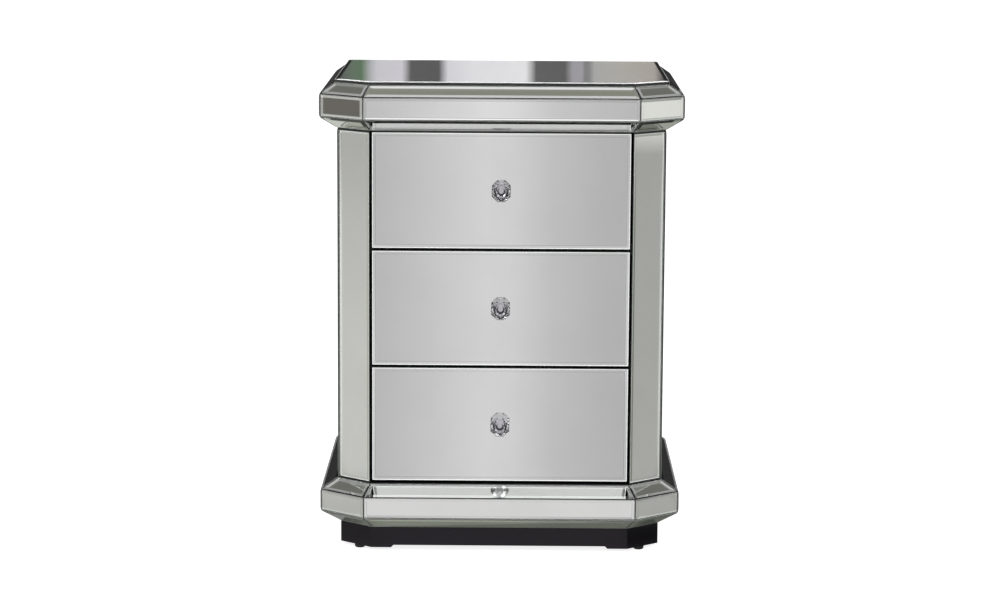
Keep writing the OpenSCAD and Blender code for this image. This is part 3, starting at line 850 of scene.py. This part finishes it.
def bearing(tree, across, ahead):
    """An angle in degrees from straight ahead."""
    return maths(tree, "MULTIPLY", maths(tree, "ARCTAN2", across, ahead), DEGREES)


def patch(tree, turn, rise, middle, inner, outer):
    """A soft round patch of the room: 1 within Inner degrees of Middle (turn, rise), 0 from Outer on."""
    shrink = math.cos(math.radians(middle[1]))
    aside = maths(tree, "MULTIPLY", maths(tree, "SUBTRACT", turn, middle[0]), shrink)
    above = maths(tree, "SUBTRACT", rise, middle[1])
    return span(tree, vectors(tree, "LENGTH", join(tree, aside, above, 0.0)), inner, outer, 1.0, 0.0)


WHITE = (1.0, 1.0, 1.0)
BLACK = (0.0, 0.0, 0.0)
BOARD_LIGHT = (0.85, 0.85, 0.85)
# Tones of the room as the mirrors see it. Walls: tall soft panels, pale and dark, over a noise
PANELS = ((0.36, 0.16), (0.43, 0.26), (0.5, 0.48), (0.58, 0.66), (0.68, (0.60, 0.59, 0.56)))
PLAIN_WALL = (0.62, 0.64, 0.60)
# The wall straight behind, from a green plant at the left to a warm curtain at the right
BACK_WALL_REACH = (-0.0621, 0.0549)
BACK_WALL_ENDS = (0.035, 0.035, 0.035)
BACK_WALL = (
    (0.0, (0.15, 0.165, 0.15)), (0.03, (0.155, 0.20, 0.155)), (0.060, (0.14, 0.215, 0.135)),
    (0.088, (0.50, 0.51, 0.52)), (0.107, (0.68, 0.665, 0.71)), (0.185, (0.72, 0.70, 0.75)), (0.212, 0.135),
    (0.30, 0.13), (0.328, (0.78, 0.77, 0.81)), (0.40, (0.87, 0.86, 0.89)), (0.57, (0.92, 0.91, 0.93)),
    (0.602, 0.15), (0.692, 0.14), (0.716, (0.40, 0.39, 0.42)), (0.745, (0.40, 0.39, 0.42)), (0.753, 0.27),
    (0.765, 0.27), (0.785, (0.47, 0.47, 0.46)), (0.86, (0.50, 0.48, 0.45)), (0.97, (0.47, 0.43, 0.40)),
    (1.0, 0.08))
# The ceiling over its height from 0 at the horizon to 1 overhead: pale ahead, grey behind
CEILING_AHEAD = (
    (0.0, 0.62), (0.02, 0.70), (0.05, 1.05), (0.09, 1.05), (0.13, 0.74), (0.22, 0.62),
    (0.6, 1.05), (0.76, 1.05), (0.80, 0.78), (0.865, 0.78), (0.9, 1.15), (1.0, 1.15))
CEILING_BEHIND = (
    (0.25, 0.45), (0.44, 0.46), (0.6, 0.56), (0.7, 0.66), (0.77, 0.66),
    (0.81, (0.26, 0.26, 0.22)), (0.86, (0.26, 0.26, 0.22)), (0.91, 0.8), (1.0, 1.15))
# Dark patches over both rear corners: turn and rise in degrees, and shade
CORNER_PATCHES = (((142.0, 47.0), 0.165), ((112.0, 51.0), 0.26))
WINDOW_ROW = (17.9, 2.7, 3.7)  # a row of lit windows behind: rise, half height, faded half height
WINDOW_START = (169.0, 172.0)  # the turn where it begins
WINDOW_LIGHT = (3.0, 3.0, 3.0)


def room_tones(tree):
    """Colour of a furnished studio in the direction of a ray.

    Turn is the angle in degrees from straight ahead of the drawers, on either side, and Rise the elevation.
    """
    x, y, z = split(tree, tree.nodes.new("ShaderNodeTexCoord").outputs["Generated"])
    rise = maths(tree, "MULTIPLY", maths(tree, "ARCSINE", z), DEGREES)
    height = maths(tree, "DIVIDE", rise, 90.0)
    turn = bearing(tree, maths(tree, "ABSOLUTE", x), maths(tree, "MULTIPLY", y, -1.0))

    # Walls, plainer at the sides, with the wall straight behind on its own
    flat = vectors(tree, "NORMALIZE", join(tree, x, y, 0.0))
    panels = ramp(tree, noise(tree, flat, 3.2, 1.5), PANELS)
    beside = both(tree, near(tree, turn, 80.0, 26.0, 36.0), span(tree, rise, 9.0, 14.0, 1.0, 0.0))
    walls = blend_colour(tree, beside, panels, PLAIN_WALL)
    offset = maths(tree, "DIVIDE", x, maths(tree, "MAXIMUM", y, 0.05))
    behind = ramp(tree, span(tree, offset, *BACK_WALL_REACH, smooth=False), BACK_WALL)
    behind = blend_colour(tree, near(tree, offset, 0.0, 0.06, 0.068), BACK_WALL_ENDS, behind)
    straight = both(tree, near(tree, offset, 0.0, 0.26, 0.34), span(tree, y, 0.0, 0.1))
    walls = blend_colour(tree, straight, walls, behind)

    # Ceiling, which ahead of the drawers reaches down to the horizon
    ceiling_ahead = ramp(tree, height, CEILING_AHEAD)
    ahead = span(tree, turn, 24.0, 56.0, 1.0, 0.0)
    ceiling = blend_colour(tree, ahead, ramp(tree, height, CEILING_BEHIND), ceiling_ahead)
    for middle, shade in CORNER_PATCHES:
        dark = patch(tree, turn, rise, middle, 6.0, 12.0)
        ceiling = blend_colour(tree, dark, ceiling, (shade, shade, 0.9 * shade))
    room = blend_colour(tree, span(tree, rise, 20.0, 30.0), walls, ceiling)
    window = both(tree, near(tree, rise, *WINDOW_ROW), span(tree, turn, *WINDOW_START))
    room = blend_colour(tree, window, room, WINDOW_LIGHT)
    return blend_colour(tree, span(tree, turn, 24.0, 48.0, 1.0, 0.0), room, ceiling_ahead)


def studio_world():
    """White to the camera, plain and pale to the boards, and a furnished studio in the mirrors."""
    world = bpy.data.worlds.new("Studio")
    world.use_nodes = True
    tree = world.node_tree
    tree.nodes.clear()
    seen, camera_ray = seen_in_glass(tree)
    plain = blend_colour(tree, seen, BOARD_LIGHT, room_tones(tree))
    background = tree.nodes.new("ShaderNodeBackground")
    put(tree, blend_colour(tree, camera_ray, plain, WHITE), background.inputs["Color"])
    link(tree, background.outputs[0], tree.nodes.new("ShaderNodeOutputWorld").inputs["Surface"])
    return world


FLOOR_GLOW = (0.85, 0.85, 0.85)  # added to the lamps' light, it makes the floor white
FLOOR_BASE = (0.45, 0.45, 0.45)
# Tones of the floor as the mirrors see it. Ahead they fan out from a point behind the chest
FAN_FROM = (0.02, 4.4)
FLOOR_AHEAD = (
    (0.0, 0.50), (0.15, 0.58), (0.28, 0.66), (0.42, 0.74),
    (0.5, 0.72), (0.62, 0.60), (0.76, 0.53), (1.0, 0.47))
# At the sides and behind they change over ten metres from the chest's middle
FLOOR_LEFT = ((0.03, 0.44), (0.06, 0.50), (0.085, 0.615), (0.2, 0.61), (0.4, 0.535), (0.6, 0.47), (1.0, 0.45))
FLOOR_RIGHT = ((0.03, 0.405), (0.08, 0.44), (0.2, 0.423), (0.4, 0.414), (0.58, 0.41), (0.68, 0.79))
FLOOR_BEHIND = ((0.3, 0.42), (0.6, 0.05))
FLOOR_FAR_RIGHT = (0.45, 0.47, 0.42)
CABINET = (0.155, 0.145, 0.13)
# Painted shadow on the floor close under the chest's right side
UNDER_BASE_SHADOW = (0.07, 0.075, 0.065)
# Strips that run out from the front posts: bearing, half width, shade at the left and at the right
POST = (0.257, -0.2)
STRIPS = (
    (69.0, 6.0, (0.80, 0.81, 0.78), (0.66, 0.67, 0.64)),
    (93.0, 7.0, (0.47, 0.49, 0.43), (0.21, 0.225, 0.19)),
    (126.0, 14.0, (0.68, 0.70, 0.62), (0.24, 0.26, 0.22)),
    (160.0, 14.0, (0.60, 0.62, 0.56), (0.36, 0.38, 0.33)))
STRIP_FADE = 3.0  # degrees


def floor_tones(tree):
    """Colour of the floor in the mirrors, by place, with a painted shadow close under the chest's right side.
    """
    x, y, _ = split(tree, object_position(tree))
    radius = vectors(tree, "LENGTH", join(tree, x, y, 0.0))
    reach = span(tree, radius, 0.0, 10.0, smooth=False)
    beside = maths(tree, "ABSOLUTE", x)
    turn = bearing(tree, beside, maths(tree, "MULTIPLY", y, -1.0))

    fan = maths(tree, "DIVIDE", maths(tree, "SUBTRACT", x, FAN_FROM[0]),
                maths(tree, "SUBTRACT", FAN_FROM[1], y))
    front = ramp(tree, span(tree, fan, -0.06, 0.06, smooth=False), FLOOR_AHEAD)
    # Ahead: brighter far off and darker close by
    front = blend_colour(tree, 1.0, front, (0.98, 0.961, 0.98), "MULTIPLY")
    front = blend_colour(tree, span(tree, y, -6.86, -6.45, 1.0, 0.0), front, (1.11, 1.11, 1.11), "MULTIPLY")
    front = blend_colour(tree, span(tree, y, -0.71, -0.65), front, (0.73, 0.72, 0.725))

    # At the sides: a cabinet at the left, and strips as seen from the front posts
    sides = blend_colour(tree, span(tree, x, -0.3, 0.3),
                         ramp(tree, reach, FLOOR_LEFT), ramp(tree, reach, FLOOR_RIGHT))
    sides = blend_colour(tree, 1.0, sides, (0.99, 0.985, 0.94), "MULTIPLY")
    cabinet = both(tree, near(tree, x, -7.2, 0.7, 0.9), near(tree, y, -1.3, 0.6, 0.8))
    sides = blend_colour(tree, cabinet, sides, CABINET)
    past_post, before_post = maths(tree, "SUBTRACT", beside, POST[0]), maths(tree, "SUBTRACT", POST[1], y)
    post_turn = bearing(tree, past_post, before_post)
    reach_out = vectors(tree, "LENGTH", join(tree, past_post, before_post, 0.0))
    clear = both(tree, span(tree, reach_out, 0.34, 0.44), span(tree, reach_out, 3.0, 6.0, 1.0, 0.0))
    right_side = span(tree, x, -0.1, 0.1)
    for middle, half_width, left_shade, right_shade in STRIPS:
        strip = blend_colour(tree, right_side, left_shade, right_shade)
        across = near(tree, post_turn, middle, half_width, half_width + STRIP_FADE)
        sides = blend_colour(tree, both(tree, across, clear), sides, strip)
    shade = blend_colour(tree, span(tree, turn, 28.0, 56.0), front, sides)

    # Behind, and a painted shadow close under the right side
    far_right = both(tree, span(tree, x, 1.0, 2.0), span(tree, radius, 12.0, 16.0))
    rear = blend_colour(tree, far_right, ramp(tree, reach, FLOOR_BEHIND), FLOOR_FAR_RIGHT)
    at_rear = both(tree, span(tree, turn, 125.0, 150.0), span(tree, radius, 1.2, 2.0))
    shade = blend_colour(tree, at_rear, shade, rear)
    base_shadow = both(tree, span(tree, radius, 0.40, 0.48, 1.0, 0.0), span(tree, x, 0.2, 0.26))
    return blend_colour(tree, base_shadow, shade, UNDER_BASE_SHADOW)


def stage_floor(size):
    """A pale floor that is white to the camera and keeps a soft shadow of the chest."""
    shape = bmesh.new()
    bmesh.ops.create_grid(shape, x_segments=1, y_segments=1, size=size / 2)
    material, tree, shader = new_material("Pale floor")
    floor = new_piece("floor", shape, material)
    seen, camera_ray = seen_in_glass(tree)
    glow = blend_colour(tree, seen, BLACK, floor_tones(tree))
    glow = blend_colour(tree, camera_ray, glow, FLOOR_GLOW)
    put(tree, glow, shader.inputs["Emission Color"])
    shader.inputs["Emission Strength"].default_value = 1.0
    put(tree, blend_colour(tree, seen, FLOOR_BASE, BLACK), shader.inputs["Base Color"])
    shader.inputs["Roughness"].default_value = 1.0
    shader.inputs["Specular IOR Level"].default_value = 0.0


LAMP_SIZE = 1.8
LAMP_TARGET = Vector((0.0, 0.0, 0.4))
SENSOR_WIDTH = 36.0  # millimetres
SHIFT_X, SHIFT_Y = -0.0019, -0.05


def add_lamp(name, place, power):
    """A square soft lamp, hidden from glossy rays but not from rays that leave glass."""
    data = bpy.data.lights.new(name, "AREA")
    data.shape = "SQUARE"
    data.size = LAMP_SIZE
    data.energy = power
    lamp = bpy.data.objects.new(name, data)
    lamp.location = place
    lamp.rotation_euler = (LAMP_TARGET - Vector(place)).to_track_quat("-Z", "Y").to_euler()
    lamp.visible_glossy = False
    bpy.context.scene.collection.objects.link(lamp)


class CHEST_OT_studio(bpy.types.Operator):
    """Set the floor, the lamps, the world and the camera"""
    bl_idname = "chest.studio"
    bl_label = "Studio"

    def execute(self, context):
        studio = settings("chest_studio")
        scene = bpy.context.scene
        scene.view_settings.view_transform = "Standard"
        scene.world = studio_world()
        stage_floor(studio.floor_size)
        add_lamp("key lamp", (-1.6, -2.2, 2.6), 60.0)
        add_lamp("fill lamp", (2.0, -1.6, 1.8), 25.0)
        data = bpy.data.cameras.new("camera")
        data.lens = studio.lens
        data.sensor_width = SENSOR_WIDTH
        data.shift_x, data.shift_y = SHIFT_X, SHIFT_Y
        camera = bpy.data.objects.new("camera", data)
        turn = (Matrix.Rotation(studio.yaw, 4, "Z") @ Matrix.Rotation(math.pi / 2 - studio.pitch, 4, "X")
                @ Matrix.Rotation(studio.roll, 4, "Z"))
        camera.matrix_world = Matrix.Translation(
            (studio.camera_offset, -studio.camera_distance, studio.camera_height)) @ turn
        scene.collection.objects.link(camera)
        scene.camera = camera
        return {"FINISHED"}


STEPS = (CHEST_OT_mirrors, CHEST_OT_boards, CHEST_OT_fittings, CHEST_OT_studio)


class CHEST_PT_panel(bpy.types.Panel):
    """Builds the chest step by step"""
    bl_idname = "CHEST_PT_panel"
    bl_label = "Mirrored chest"
    bl_space_type = "VIEW_3D"
    bl_region_type = "UI"
    bl_category = "Chest"

    def draw(self, context):
        for step in STEPS:
            self.layout.operator(step.bl_idname)


GROUPS = {"chest_plates": ChestPlates, "chest_finishes": ChestFinishes, "chest_studio": ChestStudio}
CLASSES = (*GROUPS.values(), *STEPS, CHEST_PT_panel)


def register():
    for item in CLASSES:
        bpy.utils.register_class(item)
    for name, group in GROUPS.items():
        setattr(bpy.types.Scene, name, PointerProperty(type=group))


def unregister():
    for name in GROUPS:
        delattr(bpy.types.Scene, name)
    for item in reversed(CLASSES):
        bpy.utils.unregister_class(item)


def main():
    register()
    bpy.ops.chest.mirrors()
    bpy.ops.chest.boards()
    bpy.ops.chest.fittings()
    bpy.ops.chest.studio()


if __name__ == "__main__":
    main()
